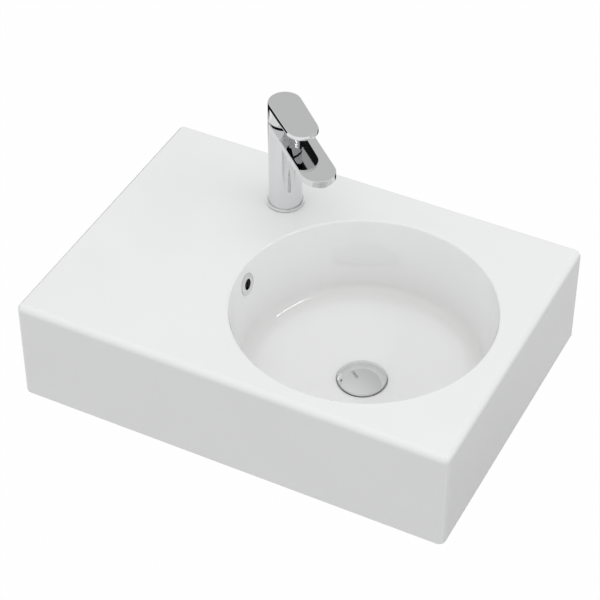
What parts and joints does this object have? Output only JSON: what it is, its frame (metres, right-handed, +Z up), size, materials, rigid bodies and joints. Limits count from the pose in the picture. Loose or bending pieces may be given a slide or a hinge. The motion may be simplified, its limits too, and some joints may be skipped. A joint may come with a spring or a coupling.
{
  "type": "wall-hung basin",
  "caption": "Wall-hung ceramic basin with a shelf beside a round bowl, a single-lever mixer tap on the shelf and a press-to-close waste.",
  "frame": {"origin": "midway between the two wall bolts, on the wall plane", "axes": "+X to the right seen from the front, +Y into the wall, +Z up"},
  "size_m": [0.615, 0.435, 0.3684],
  "materials": {
    "glazed_white": "glossy white glaze",
    "chrome_polished": "polished chrome plating",
    "rubber_black": "moulded rubber",
    "plastic_white": "moulded acetal",
    "plastic_black": "moulded plastic",
    "brass_plain": "turned brass",
    "steel_plain": "plain steel",
    "disc_ceramic": "lapped alumina"
  },
  "bodies": {
    "basin": {"basin_body": "glazed_white", "tap_body": "chrome_polished", "tap_base_ring": "chrome_polished", "aerator_shell": "chrome_polished", "overflow_ring": "chrome_polished", "waste_body": "chrome_polished", "waste_flange_seal": "rubber_black", "waste_cone_seal": "rubber_black", "tap_base_seal": "rubber_black", "aerator_washer": "rubber_black", "tap_rubber_horseshoe": "rubber_black", "cartridge_seals": "rubber_black", "waste_slip_washer": "plastic_white", "cartridge_base": "plastic_white", "cartridge_housing": "plastic_white", "aerator_insert": "plastic_white", "press_cartridge": "plastic_white", "slide_dome": "plastic_black", "waste_back_nut": "brass_plain", "cartridge_nut": "brass_plain", "tap_nut": "brass_plain", "tap_stud": "steel_plain", "tap_steel_horseshoe": "steel_plain", "press_spring": "steel_plain", "fixed_disc": "disc_ceramic"},
    "cover": {"waste_cover": "chrome_polished", "cover_seal": "rubber_black", "cover_stem": "steel_plain"},
    "swivel": {"cartridge_rotor": "plastic_black", "rotor_pin": "steel_plain"},
    "carrier": {"disc_carrier": "plastic_white", "moving_disc": "disc_ceramic"},
    "lever": {"lever_handle": "chrome_polished", "lever_stem": "steel_plain", "lever_screw": "steel_plain", "lever_plug": "chrome_polished"}
  },
  "joints": [
    {"name": "lever_turn", "type": "hinge", "parent": "basin", "child": "swivel", "pos_m": [-0.0929, -0.0842, 0.1949], "axis": [0, 0, 1], "range_deg": [-45, 45]},
    {"name": "lever_lift", "type": "hinge", "parent": "swivel", "child": "lever", "pos_m": [-0.0929, -0.0842, 0.1949], "axis": [-0.6626, -0.749, 0], "range_deg": [0, 20]},
    {"name": "disc_slide", "type": "slide", "parent": "swivel", "child": "carrier", "axis": [0.749, -0.6626, 0], "range_m": [0, 0.00436]},
    {"name": "cover_lift", "type": "slide", "parent": "basin", "child": "cover", "axis": [0, 0, 1], "range_m": [0, 0.008], "deforming": ["press_spring"]}
  ],
  "couplings": [
    {"joint": "disc_slide", "follows": "lever_lift", "m_per_rad": 0.0125}
  ]
}
